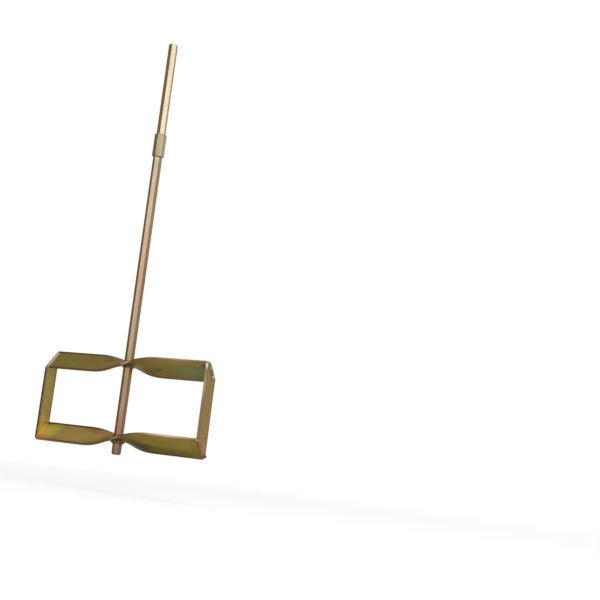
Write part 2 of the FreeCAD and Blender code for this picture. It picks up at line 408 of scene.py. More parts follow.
@dataclass(frozen=True)
class PlatedSteel:
    """Zinc plate under a passivation film, whose hue follows its thickness.

    Attributes:
        name: The material's name.
        film: Colours by film thickness, 0 to 1.
        rim: Colour of the narrow edges and corners: painted shade on the twisted bars, a painted
            highlight on the side bars and on the nut's corners.
        soil_and_shade: Colour of the specks, and of the dirt and painted shade beside the edges.
        soil_and_shade_share: How much of that colour shows beside the edges.
        cloud_swing: How far the film drifts in broad patches.
        streak_swing: How far it changes from streak to streak.
        cloud_scale: Broad patches to the metre.
        streak_scale: Streaks to the metre.
        fine_scale: Fine streaks to the metre.
        speck_scale: Dark specks to the metre.
        speck_share: How much of the soil's colour shows in a speck.
        metallic: Share of metal in the surface.
        roughness: Mean roughness.
        grain_depth: Depth of the drawn or rolled grain.
        slant: Colour of the light that leaves it at a slant.
        tints: Patches at set places.
    """

    name: str
    film: tuple[tuple[float, Colour], ...]
    rim: Colour
    soil_and_shade: Colour = shade(84, 66, 38)
    soil_and_shade_share: float = 0.8
    cloud_swing: float = 1.5
    streak_swing: float = 0.8
    cloud_scale: float = 30.0
    streak_scale: float = 260.0
    fine_scale: float = 1400.0
    speck_scale: float = 900.0
    speck_share: float = 0.35
    metallic: float = 0.75
    roughness: float = 0.40
    grain_depth: float = 0.06 * MM
    slant: Colour = shade(255, 255, 255)
    tints: tuple[Tint, ...] = ()

    def make(self, lay: Callable[[NodeBook], Grain]) -> bpy.types.Material:
        """Makes the material for pieces with one lay of the grain.

        Args:
            lay: Writes the pieces' own coordinates into the tree.

        Returns:
            The material.
        """
        material, book = new_material(self.name)
        grain = lay(book)
        broad = book.clouds(grain.place, self.cloud_scale, detail=4.0, roughness=0.55)
        streaks = book.clouds(grain.fibres, self.streak_scale, detail=3.0, roughness=0.6)
        fine = book.clouds(grain.fibres, self.fine_scale, detail=2.0, roughness=0.7)
        bump = book.node("ShaderNodeBump", None, {
            "Height": 0.6 * streaks + 0.4 * fine, "Strength": 0.35, "Distance": self.grain_depth})
        matt = self.roughness + 0.16 * (fine - 0.5) + 0.20 * (broad - 0.5)
        shell = book.node("ShaderNodeBsdfPrincipled", None, {
            "Base Color": self.colour(book, grain, broad, streaks), "Metallic": self.metallic,
            "Roughness": matt, "Normal": bump.outputs[0], "Specular Tint": self.slant})
        book.node("ShaderNodeOutputMaterial", None, {0: shell.outputs[0]})
        return material

    def colour(
        self, book: NodeBook, grain: Grain, broad: Signal, streaks: Signal,
    ) -> bpy.types.NodeSocket:
        """Colours the plate: film, edges, patches, specks, and dirt and painted shade beside the
        edges.

        Args:
            book: The tree's writer.
            grain: The lay of the grain.
            broad: Broad noise over the piece.
            streaks: Noise drawn out along the grain.

        Returns:
            The colour's socket.
        """
        film = 0.5 + (broad - 0.5) * self.cloud_swing + (streaks - 0.5) * self.streak_swing
        colour = book.node("ShaderNodeValToRGB", {"stops": self.film}, {0: film}).outputs[0]
        # The narrow edges take the rim colour: painted shade on some plates, a painted highlight on
        # others.
        colour = book.mix(grain.rim, colour, self.rim)
        wander = 0.8 * (streaks - 0.5) + 0.6 * (broad - 0.5)
        for tint in self.tints:
            colour = tint.over(book, colour, grain.along, grain.across, wander)
        specks = book.clouds(grain.place, self.speck_scale, detail=2.0, roughness=0.6)
        colour = book.mix(specks.rise(0.60, 0.78) * self.speck_share, colour, self.soil_and_shade)
        # Beside the edges the plate darkens: partly dirt, partly painted shade on edges turned away
        # from the light.
        dirt_and_shade = grain.soil_and_shade * (0.8 * streaks + 0.6).least(1.0)
        return book.mix(dirt_and_shade * self.soil_and_shade_share, colour, self.soil_and_shade)


@dataclass(frozen=True)
class WeldMetal:
    """Plated weld metal, patchy and pitted.

    Attributes:
        name: The material's name.
        low: Colour of its dark patches.
        high: Colour of its pale patches.
        metallic: Share of metal in the surface.
        roughness: Mean roughness.
        patch_scale: Patches to the metre.
        pit_scale: Pits to the metre.
        soot: Colour of the pits.
        rust: Colour of the seam.
        seam: Distance from the frame's middle where a rusty seam runs, or 0 for none.
        tints: Patches at set places: "along" is Y, "across" the distance from the frame's middle.
    """

    name: str
    low: Colour
    high: Colour
    metallic: float = 0.6
    roughness: float = 0.46
    patch_scale: float = 220.0
    pit_scale: float = 1100.0
    soot: Colour = shade(58, 44, 28)
    rust: Colour = shade(92, 56, 30)
    seam: float = 0.0
    tints: tuple[Tint, ...] = ()

    def make(self) -> bpy.types.Material:
        """Makes the material.

        Returns:
            The material.
        """
        material, book = new_material(self.name)
        place = book.place()
        broad = book.clouds(place, self.patch_scale, detail=3.0, roughness=0.55)
        pits = book.clouds(place, self.pit_scale, detail=3.0, roughness=0.65)
        x, y, _ = book.split(place)
        out = abs(x)
        colour = book.mix(broad.rise(0.38, 0.62), self.low, self.high)
        for tint in self.tints:
            colour = tint.over(book, colour, y, out, 0.8 * (pits - 0.5))
        colour = book.mix(pits.rise(0.58, 0.75) * 0.5, colour, self.soot)
        if self.seam:
            line = out.rise(self.seam + 1.5 * MM, self.seam + 0.8 * MM)
            colour = book.mix(line * (0.5 + 0.6 * broad), colour, self.rust)
        bump = book.node("ShaderNodeBump", None, {
            "Height": 0.5 * pits + 0.5 * broad, "Strength": 0.5, "Distance": 0.15 * MM})
        matt = self.roughness + 0.3 * (pits - 0.5)
        shell = book.node("ShaderNodeBsdfPrincipled", None, {
            "Base Color": colour, "Metallic": self.metallic, "Roughness": matt,
            "Normal": bump.outputs[0]})
        book.node("ShaderNodeOutputMaterial", None, {0: shell.outputs[0]})
        return material


# ----------------------------------------------------------------- mesh tools

def add_object(name: str, data: bpy.types.ID) -> bpy.types.Object:
    """Adds an object to the scene.

    Args:
        name: Its name.
        data: Its mesh, lamp or camera.

    Returns:
        The object.
    """
    made = bpy.data.objects.new(name, data)
    bpy.context.scene.collection.objects.link(made)
    return made


def make_piece(
    name: str, points: Sequence[Vector], faces: Sequence[Sequence[int]],
    material: bpy.types.Material, body: str,
) -> bpy.types.Object:
    """Makes a smooth mesh piece that rides on a body.

    Args:
        name: The piece's name.
        points: Its corners.
        faces: Corner numbers of each face.
        material: Its material.
        body: The body that carries it.

    Returns:
        The piece.
    """
    mesh = bpy.data.meshes.new(name)
    mesh.from_pydata([tuple(point) for point in points], [], [tuple(face) for face in faces])
    mesh.materials.append(material)
    mesh.polygons.foreach_set("use_smooth", [True] * len(mesh.polygons))
    mesh.update()
    piece = add_object(name, mesh)
    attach(piece, body)
    return piece


def grid_faces(
    rows: int, columns: int, first: int = 0, ring: bool = False,
) -> list[tuple[int, ...]]:
    """Joins rows of closed outlines into a tube.

    Args:
        rows: The number of outlines.
        columns: Points in each.
        first: Number of the first point.
        ring: True where the last outline joins the first, else both ends are capped.

    Returns:
        The faces.
    """
    def number(row: int, column: int) -> int:
        """Numbers a point of the grid, wrapping both ways."""
        return first + (row % rows) * columns + column % columns
    faces = [
        (number(r, c), number(r, c + 1), number(r + 1, c + 1), number(r + 1, c))
        for r in range(rows if ring else rows - 1) for c in range(columns)
    ]
    if not ring:
        faces.append(tuple(number(0, c) for c in reversed(range(columns))))
        faces.append(tuple(number(rows - 1, c) for c in range(columns)))
    return faces


def dress(node: str, material: bpy.types.Material) -> bpy.types.Object:
    """Gives a CAD node a material in every one of its slots.

    Args:
        node: The node's name.
        material: The material.

    Returns:
        The node's object.
    """
    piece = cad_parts[node]
    for slot in piece.material_slots:
        slot.material = material
    return piece


# ---------------------------------------------------------------- drive line

class Hand(Enum):
    """Which way a thread's ridge stands from its cylinder."""

    OUTWARD = 1.0
    INWARD = -1.0


@dataclass
class Thread:
    """A right-handed helical ridge on a stud or in a bore.

    Attributes:
        root: Radius of the cylinder that carries it.
        low: Height of its lower end.
        high: Height of its upper end.
        hand: Whether it stands outward or inward.
        pitch: Rise of one turn.
        depth: Height of the ridge.
        steps: Outlines to one turn.
    """

    root: float
    low: float
    high: float
    hand: Hand
    pitch: float = 1.25 * MM
    depth: float = 0.38 * MM
    steps: int = 40

    def build(
        self, name: str, material: bpy.types.Material, body: str, record_slot: str,
    ) -> bpy.types.Object:
        """Builds the ridge, faded out over half a turn at each end.

        Args:
            name: The piece's name.
            material: Its material.
            body: The body that carries it.
            record_slot: Not used.

        Returns:
            The piece.
        """
        turns = (self.high - self.low) / self.pitch
        rows = int(turns * self.steps)
        foot, crest, sink = 0.26 * self.pitch, 0.07 * self.pitch, 0.1 * MM
        outline = [
            (-sink, -foot), (0.0, -foot), (self.depth, -crest),
            (self.depth, crest), (0.0, foot), (-sink, foot),
        ]
        if self.hand is Hand.INWARD:
            outline.reverse()
        points = []
        for row in range(rows + 1):
            turn = row / self.steps
            angle = 2.0 * math.pi * turn
            fade = min(1.0, 2.0 * turn, 2.0 * (rows / self.steps - turn)) + 0.02
            for rise, climb in outline:
                reach = self.root + self.hand.value * (rise * fade if rise > 0 else rise)
                height = self.low + self.pitch * turn + climb
                points.append(Vector((reach * math.cos(angle), reach * math.sin(angle), height)))
        return make_piece(
            name, points, grid_faces(rows + 1, len(outline)), material, body)


@dataclass(frozen=True)
class HexagonBar:
    """A hexagonal bar drawn along Z, as its finish sees it.

    Attributes:
        flats: Its width across flats.
        turn: Its angle about Z.
        squeeze: How much shorter Z is where streaks are read.
        side: The direction, about Z, in which distance across it is measured.
    """

    flats: float
    turn: float = 0.0
    squeeze: float = DRAWN_STREAKS
    side: float = math.radians(90.0)

    def lay(self, book: NodeBook) -> Grain:
        """Writes the bar's coordinates.

        Args:
            book: The tree's writer.

        Returns:
            The grain of the drawn bar.
        """
        place = book.place()
        x, y, z = book.split(place)

        def towards(angle: float) -> Signal:
            """Measures distance from the axis in a direction about Z."""
            return x * math.cos(angle) + y * math.sin(angle)

        first, second, third = (
            abs(towards(self.turn + math.radians(degrees))) for degrees in (30.0, 90.0, 150.0))
        out = first.most(second).most(third)
        corner = self.flats / 2 / math.cos(math.radians(30.0))
        return Grain(
            place, z, towards(self.side), book.scaled(place, (1.0, 1.0, self.squeeze)),
            rim=out.rise(corner - 0.12 * MM, corner),
            soil_and_shade=out.rise(corner - 0.5 * MM, corner - 0.1 * MM))


@dataclass
class DriveLine:
    """The hexagonal shank, the coupling nut and the hexagonal shaft.

    Attributes:
        flats: Width of shank and shaft across flats.
        nut_flats: Width of the nut across flats.
        shank_turn: Angle of the shank about Z.
        nut_turn: Angle of the nut about Z.
        stud_radius: Radius of the studs' plain cylinders.
        bore_radius: Radius of the nut's plain bore.
        thread_margin: Distance from a thread's end to the end of its stud or of the nut.
    """

    flats: float = BAR_FLATS
    nut_flats: float = 13 * MM
    shank_turn: float = math.radians(18.0)
    nut_turn: float = math.radians(7.5)
    stud_radius: float = 3.55 * MM
    bore_radius: float = 3.60 * MM
    thread_margin: float = 0.9 * MM

    def shank_plate(self, nut_high: float) -> PlatedSteel:
        """Gives the shank's pale plate, with painted shade, a browner colour, on its shaded flat.

        Args:
            nut_high: Height of the nut's upper end.

        Returns:
            The finish.
        """
        film = (
            (0.0, shade(134, 118, 95)), (0.35, shade(146, 131, 109)), (0.6, shade(151, 140, 121)),
            (1.0, shade(140, 129, 108)),
        )
        # Painted shade on the shaded flat.
        shaded = Tint(
            nut_high + 45 * MM, self.flats / 2, 200 * MM, 0.6 * MM, shade(136, 121, 86), 0.9)
        return PlatedSteel(
            "pale_drawn_zinc", film, rim=shade(150, 137, 114), soil_and_shade=shade(120, 103, 76),
            soil_and_shade_share=0.25, roughness=0.44, cloud_swing=0.7, slant=shade(226, 204, 156),
            tints=(shaded,))

    def nut_plate(self, nut_low: float) -> PlatedSteel:
        """Gives the nut's dull plate, with a painted highlight on the faces that look along X and on
        its corners.

        Args:
            nut_low: Height of the nut's lower end.

        Returns:
            The finish.
        """
        film = (
            (0.0, shade(130, 102, 66)), (0.35, shade(130, 115, 84)), (0.6, shade(132, 124, 94)),
            (1.0, shade(118, 118, 92)),
        )
        # Painted highlight on the faces that look along X; the rim colour paints one on the corners.
        pale = Tint(nut_low + 4 * MM, 0.5 * MM, 100 * MM, 5.5 * MM, shade(154, 146, 118), 0.8)
        return PlatedSteel(
            "dull_nut_zinc", film, rim=shade(188, 180, 150), soil_and_shade_share=0.3, roughness=0.46,
            cloud_scale=90.0, cloud_swing=1.3, tints=(pale,))

    def shaft_plate(self, nut_low: float) -> PlatedSteel:
        """Gives the shaft's rosy plate, paler under the nut and dark at the tip, with painted shade on
        the chamfered tip, painted shadow of the nut and a painted highlight band right under the nut.

        Args:
            nut_low: Height of the nut's lower end.

        Returns:
            The finish.
        """
        film = (
            (0.0, shade(122, 96, 78)), (0.35, shade(131, 106, 86)), (0.6, shade(138, 117, 95)),
            (1.0, shade(144, 127, 103)),
        )
        all_round = 1.0  # far wider than the shaft
        bands = (
            (nut_low - 35 * MM, 100 * MM, shade(144, 124, 98), 0.7),
            (95 * MM, 60 * MM, shade(122, 101, 70), 0.7),
            (30 * MM, 30 * MM, shade(132, 91, 78), 0.75),
            (0.0, 14 * MM, shade(96, 76, 62), 0.7),
            # Painted shade on the chamfered tip.
            (0.0, 2.4 * MM, shade(60, 44, 36), 0.9),
            # Painted shadow of the nut below it.
            (nut_low - 13 * MM, 14 * MM, shade(134, 119, 99), 0.7),
            # Painted highlight: a pale band right under the nut.
            (nut_low - 2 * MM, 5 * MM, shade(136, 133, 126), 0.9),
        )
        return PlatedSteel(
            "rosy_drawn_zinc", film, rim=shade(112, 92, 70), soil_and_shade=shade(84, 66, 46),
            soil_and_shade_share=0.6, roughness=0.38, cloud_swing=0.7, slant=shade(222, 196, 166),
            tints=tuple(
                Tint(middle, 0.0, length, all_round, colour, strength)
                for middle, length, colour, strength in bands))

    def dress(self) -> list[bpy.types.Object]:
        """Gives the shank, nut and shaft their plated finishes.

        Returns:
            The dressed CAD nodes.
        """
        nut_low, nut_high = (corner.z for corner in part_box("coupling_nut"))
        shaded_flat = self.shank_turn + math.radians(240.0)
        shank = HexagonBar(self.flats, self.shank_turn, side=shaded_flat)
        nut = HexagonBar(self.nut_flats, self.nut_turn, squeeze=0.25)
        shaft = HexagonBar(self.flats)
        return [
            dress("upper_shank", self.shank_plate(nut_high).make(shank.lay)),
            dress("coupling_nut", self.nut_plate(nut_low).make(nut.lay)),
            dress("lower_shaft", self.shaft_plate(nut_low).make(shaft.lay)),
        ]

    def build(self) -> list[bpy.types.Object]:
        """Builds the threads that show where the pieces are unscrewed.

        Returns:
            The threads.
        """
        bright = PlatedSteel(
            "thread_zinc", ((0.0, shade(140, 120, 84)), (1.0, shade(176, 160, 124))),
            rim=shade(190, 176, 140), roughness=0.36, cloud_scale=200.0)
        material = bright.make(HexagonBar(self.flats, squeeze=1.0).lay)
        nut_low, nut_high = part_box("coupling_nut")
        low, high = nut_low.z + self.thread_margin, nut_high.z - self.thread_margin
        shank_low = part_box("upper_shank")[0].z + self.thread_margin
        shaft_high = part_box("lower_shaft")[1].z - self.thread_margin
        shank = Thread(self.stud_radius, shank_low, high, Hand.OUTWARD)
        shaft = Thread(self.stud_radius, low, shaft_high, Hand.OUTWARD)
        bore = Thread(self.bore_radius, low, high, Hand.INWARD, depth=0.28 * MM)
        return [
            shank.build("shank_thread", material, "shank", "bright_zinc"),
            shaft.build("shaft_thread", material, "agitator", "shaft_zinc"),
            bore.build("nut_thread", material, "nut", "dull_zinc"),
        ]


# ------------------------------------------------------------ agitator frame

def rolled_rim(across: Signal, half: float) -> Signal:
    """Marks the two narrow edges of a rolled bar of a given half width."""
    return abs(across).rise(half - 0.3 * MM, half - 0.1 * MM)


@dataclass
class TwistedBar:
    """A flat bar that is level at the shaft and twists to its two ends.

    Attributes:
        node: The CAD node.
        height: Height of its middle.
        width: Its width.
        thickness: Its thickness.
        tilt: Tilt of its ends about X.
        reach: Half the length over which it twists.
    """

    node: str
    height: float
    width: float = 30 * MM
    thickness: float = 3 * MM
    tilt: float = math.radians(48.0)
    reach: float = 48 * MM

    @property
    def near_edge(self) -> float:
        """Gives the place, across the bar, of patches along its front edge."""
        return -self.width / 2 - 0.5 * MM

    def angle_at(self, x: float) -> float:
        """Gives the bar's angle about X at a place along it."""
        share = max(-1.0, min(1.0, x / self.reach))
        return -self.tilt * (1.5 * share - 0.5 * share ** 3)

    def face_height(self, x: float, y: float, side: float) -> float:
        """Gives the height of the upper (side 1) or lower (side -1) face."""
        angle = self.angle_at(x)
        return self.height + (side * self.thickness / 2 + y * math.sin(angle)) / math.cos(angle)

    def lay(self, book: NodeBook) -> Grain:
        """Writes the coordinates that follow the twist.

        Args:
            book: The tree's writer.

        Returns:
            The grain of the rolled bar.
        """
        place = book.place()
        x, y, z = book.split(place)
        share = (x * (1.0 / self.reach)).least(1.0).most(-1.0)
        angle = (share * 1.5 - share * share * share * 0.5) * -self.tilt
        up = z - self.height
        across = y * angle.cosine() + up * angle.sine()
        through = up * angle.cosine() - y * angle.sine()
        half = self.width / 2
        rim = rolled_rim(across, half)
        # Painted shade: the plate darkens beside the back edge, most on the left arm, and beside the
        # front edge of the left arm, which faces down.
        left = x.rise(20 * MM, -20 * MM)
        back = across.rise(half - 4.5 * MM, half - 1.3 * MM) * (0.8 * left + 0.2)
        front = (-across).rise(half - 2.2 * MM, half - 0.8 * MM) * left * 0.6
        return Grain(
            book.vector(x * ROLLED_PATCHES, across, up), x, across,
            book.vector(x * ROLLED_STREAKS, across, through), rim, (back + front) * (1.0 - rim))


def twisted_bars() -> tuple[TwistedBar, ...]:
    """Takes the top and the bottom bar with their heights from the CAD."""
    nodes = ("top_bar", "bottom_bar")
    return tuple(TwistedBar(node, sum(corner.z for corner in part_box(node)) / 2) for node in nodes)


@dataclass
class AgitatorFrame:
    """The twisted bars and the upright side bars.

    Attributes:
        bars: The two twisted bars.
        side_half_width: Half the width of a side bar.
    """

    bars: tuple[TwistedBar, ...] = field(default_factory=twisted_bars)
    side_half_width: float = 10.04 * MM

    OLIVE = (
        (0.0, shade(143, 102, 53)), (0.22, shade(141, 108, 53)), (0.42, shade(129, 109, 52)),
        (0.58, shade(121, 109, 52)), (0.78, shade(112, 108, 58)), (1.0, shade(102, 106, 64)),
    )
    GOLD = (
        (0.0, shade(146, 98, 46)), (0.22, shade(142, 106, 42)), (0.42, shade(132, 108, 38)),
        (0.58, shade(122, 108, 38)), (0.78, shade(112, 106, 40)), (1.0, shade(98, 100, 44)),
    )
    # The twisted bars' edge colour is painted shade on their narrow edges; the darker colour after it
    # makes their specks and the painted shade beside their edges.
    EDGE_SHADE = shade(104, 80, 48)
    SOIL_AND_SHADE = shade(60, 40, 22)
    WARM = shade(236, 223, 190)

    def side_lay(self, book: NodeBook) -> Grain:
        """Writes the coordinates of the upright bars.

        Args:
            book: The tree's writer.

        Returns:
            The grain of the rolled bars.
        """
        place = book.place()
        x, y, z = book.split(place)
        half = self.side_half_width
        rim = rolled_rim(y, half)
        left = x.rise(1 * MM, -1 * MM)
        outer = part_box("right_side_bar")[1].x
        line = abs(x).rise(outer - 3.0 * MM, outer - 1.9 * MM) * rim * left
        soil_and_shade = abs(y).rise(half - 1.4 * MM, half - 0.4 * MM) * (1.0 - rim)
        return Grain(
            book.scaled(place, (1.0, 1.0, ROLLED_PATCHES)), z, y,
            book.scaled(place, (1.0, 1.0, ROLLED_STREAKS)), rim, soil_and_shade.most(line))

    def top_plate(self, near: float) -> PlatedSteel:
        """Gives the top bar's olive plate, with painted highlights along its front edge and on its
        rounded left end.

        Args:
            near: Place of the patches on its front edge, in millimetres across it.

        Returns:
            The finish.
        """
        return PlatedSteel(
            "top_bar_plate", self.OLIVE, self.EDGE_SHADE, self.SOIL_AND_SHADE, 0.95, slant=self.WARM, tints=patches(
                (-85, 1, 40, 10, (122, 111, 54), 0.5),
                (78, -11, 56, 6, (154, 122, 66), 0.7),
                (90, 13, 34, 6, (122, 115, 68), 0.8),
                (94, 2, 34, 10, (114, 126, 92), 0.7),
                (45, 0, 34, 12, (130, 114, 54), 0.55),
                (46, 1, 9, 4, (62, 84, 52), 0.7),
                (114.5, -9, 5, 6, (108, 66, 42), 0.85),
                (28, -11, 18, 6, (142, 104, 46), 0.75),
                (24, 9, 18, 10, (88, 72, 32), 0.8),
                (6, -9, 13, 7, (118, 78, 36), 0.85),
                (-50, 4, 20, 10, (124, 94, 50), 0.5),
                (-28, 10, 18, 12, (76, 60, 28), 0.9),
                (-12, -4, 14, 12, (104, 78, 32), 0.8),
                (26, 14, 18, 6, (84, 68, 32), 0.8),
                # Painted highlights along the front edge, by the shaft and on the right arm.
                (6, near, 10, 3, (196, 172, 130), 0.9),
                (78, near, 62, 2.2, (160, 138, 104), 0.85),
                # Painted highlight on the rounded left end.
                (-117.2, 0, 3.4, 30, (226, 216, 178), 0.9)))

    def bottom_plate(self, near: float) -> PlatedSteel:
        """Gives the bottom bar's golden plate, with a painted sheen on its left arm, painted
        highlights along its front edge, and painted shade along that edge on the left, beside the
        shaft's weld and low on its right arm.

        Args:
            near: Place of the patches on its front edge, in millimetres across it.

        Returns:
            The finish.
        """
        return PlatedSteel(
            "bottom_bar_plate", self.GOLD, self.EDGE_SHADE, self.SOIL_AND_SHADE, 0.95, slant=self.WARM, tints=patches(
                # Painted sheen: a pale patch over the left arm.
                (-70, 0, 70, 26, (182, 154, 88), 0.85),
                (-104, 3, 20, 13, (202, 200, 98), 0.8),
                (-110, -12, 20, 6, (204, 150, 88), 0.75),
                (-117.2, 4, 2.6, 13, (208, 194, 128), 0.6),
                # Painted shade along the front edge of the left arm.
                (-70, near, 75, 2.5, (106, 80, 44), 0.9),
                (-36, 9, 16, 8, (150, 104, 66), 0.6),
                (-20, 10, 14, 9, (112, 76, 42), 0.85),
                (-12, -4, 14, 12, (100, 76, 34), 0.75),
                (20, -10, 16, 6, (130, 92, 44), 0.7),
                (6, -9, 12, 7, (104, 70, 34), 0.85),
                (46, 2, 8, 3, (80, 82, 40), 0.6),
                (80, -11, 60, 5, (154, 118, 54), 0.6),
                (104, -6, 26, 11, (154, 120, 50), 0.6),
                (70, -2, 60, 7, (122, 114, 42), 0.5),
                (110, 1, 6, 14, (120, 84, 38), 0.4),
                # Painted shade over the lower half of the right arm.
                (60, 10, 90, 10, (80, 70, 22), 0.75),
                # Painted shade on the right arm beside the shaft's weld.
                (18, -4, 14, 11, (96, 70, 32), 0.8),
                (26, 6, 28, 12, (56, 46, 16), 0.9),
                (15, 1, 10, 6, (46, 32, 12), 0.9),
                # Painted shade along the back edge of the right arm.
                (60, 16.5, 85, 6, (48, 36, 12), 0.9),
                # Painted highlights along the front edge, by the shaft and on the right arm.
                (6, near, 10, 3, (172, 150, 106), 0.6),
                (78, near, 62, 1.8, (234, 216, 190), 0.95),
                (118, 0, 1.4, 30, (100, 62, 34), 0.7)))

    def left_plate(self) -> PlatedSteel:
        """Gives the left side bar's plate, golden towards its foot, with a painted highlight on its
        narrow edges.

        Returns:
            The finish.
        """
        return PlatedSteel(
            # Its edge colour is a painted highlight on the narrow edges.
            "left_bar_plate", self.OLIVE, shade(160, 136, 90), shade(60, 34, 18), 1.0,
            cloud_scale=40.0, tints=patches(
                (80, -2, 50, 12, (142, 131, 52), 0.75),
                (15.5, 0, 22, 18, (208, 168, 72), 0.9),
                (7, -4, 11, 11, (236, 174, 104), 0.85)))

    def right_plate(self, foot: float) -> PlatedSteel:
        """Gives the right side bar's plate, rosy near its foot, with painted highlights on its narrow
        edges, brightest along the front edge near its top.

        Args:
            foot: Height of the bottom bar's middle, in millimetres.

        Returns:
            The finish.
        """
        brow = -self.side_half_width / MM - 0.3
        return PlatedSteel(
            # Its edge colour is a painted highlight on the narrow edges.
            "right_bar_plate", self.OLIVE, shade(144, 128, 100), cloud_scale=40.0, tints=patches(
                (62, 0, 80, 20, (134, 107, 56), 0.8),
                # Painted highlights along the front edge, brightest near the top.
                (90, brow, 20, 1.6, (178, 165, 137), 0.7),
                (117, brow, 7.5, 1.8, (238, 230, 208), 0.95),
                (108, 2, 16, 6, (132, 90, 54), 0.7),
                (foot - 4, 4, 16, 10, (152, 110, 86), 0.8)))

    def dress(self) -> list[bpy.types.Object]:
        """Gives each bar its olive or golden plate.

        Returns:
            The dressed CAD nodes.
        """
        top, bottom = self.bars
        return [
            dress(top.node, self.top_plate(top.near_edge / MM).make(top.lay)),
            dress(bottom.node, self.bottom_plate(bottom.near_edge / MM).make(bottom.lay)),
            dress("left_side_bar", self.left_plate().make(self.side_lay)),
            dress("right_side_bar", self.right_plate(bottom.height / MM).make(self.side_lay)),
        ]


# --------------------------------------------------------------------- welds

@dataclass(frozen=True)
class CornerWeld:
    """One corner weld's shape and finish.

    Attributes:
        node: The CAD node it replaces.
        metal: Its finish.
        seed: Where its unevenness is read.
        near_round: Length over which its front end falls away.
        far_round: Length over which its back end falls away.
        proud: How far its bead stands out past the dressed round.
        ripple: Length of one ripple.
        ripple_height: Height of one ripple.
        lead_in: Length over which the bead gains its height.
    """

    node: str
    metal: WeldMetal
    seed: float
    near_round: float = 1.3 * MM
    far_round: float = 1.3 * MM
    proud: float = 0.0
    ripple: float = 1.9 * MM
    ripple_height: float = 0.18 * MM
    lead_in: float = 6 * MM

    def fullness(self, share: float, half: float) -> float:
        """Gives how much of the section is left where the weld's ends fall away.

        Args:
            share: Place along the corner, from -1 in front to 1 at the back.
            half: Half the corner's length.

        Returns:
            The share of the full section.
        """
        end = self.far_round if share > 0 else self.near_round
        past = max(0.0, abs(share) * half - (half - end)) / end
        return max(0.02, math.sqrt(max(0.0, 1.0 - past * past)))

    def rise(self, share: float, half: float) -> float:
        """Gives how far the bead stands out past the dressed round.

        Args:
            share: Place along the corner, from -1 in front to 1 at the back.
            half: Half the corner's length.

        Returns:
            The distance.
        """
        lump = noise.noise(Vector((share * 4.0, self.seed, 0.0)))
        wave = abs(math.sin(math.pi * share * half / self.ripple))
        onset = math.sin(math.pi / 2 * min(1.0, (share + 1.0) * half / self.lead_in))
        bead = self.proud * onset * (1.0 - 0.28 * (share + 1.0)) * (1.0 + 0.5 * lump)
        return bead + self.ripple_height * wave

    def outline(self, bar: TwistedBar, thick: float, share: float) -> list[tuple[float, float]]:
        """Shapes the weld's section.

        Args:
            bar: The twisted bar it stands on.
            thick: How far it reaches out from the bar's end.
            share: Place along the corner, from -1 in front to 1 at the back.

        Returns:
            Its points, out from the bar's end and up from the bar's middle.
        """
        half, sink, steps = bar.thickness / 2, 0.1 * MM, 12
        full = self.fullness(share, bar.width / 2)
        proud = self.rise(share, bar.width / 2) * full
        radius = 0.93 * min(thick, bar.thickness)
        points = [(-sink, -half - sink), (thick * full, -half - sink)]
        for step in range(steps + 1):
            turn = math.pi / 2 * step / steps
            swell = radius + proud * math.sin(2.0 * turn) ** 0.6 if step % steps else radius
            out = ((thick - radius) + swell * math.cos(turn)) * full
            points.append((out, half - radius + swell * math.sin(turn)))
        points.append((-sink, half))
        return points


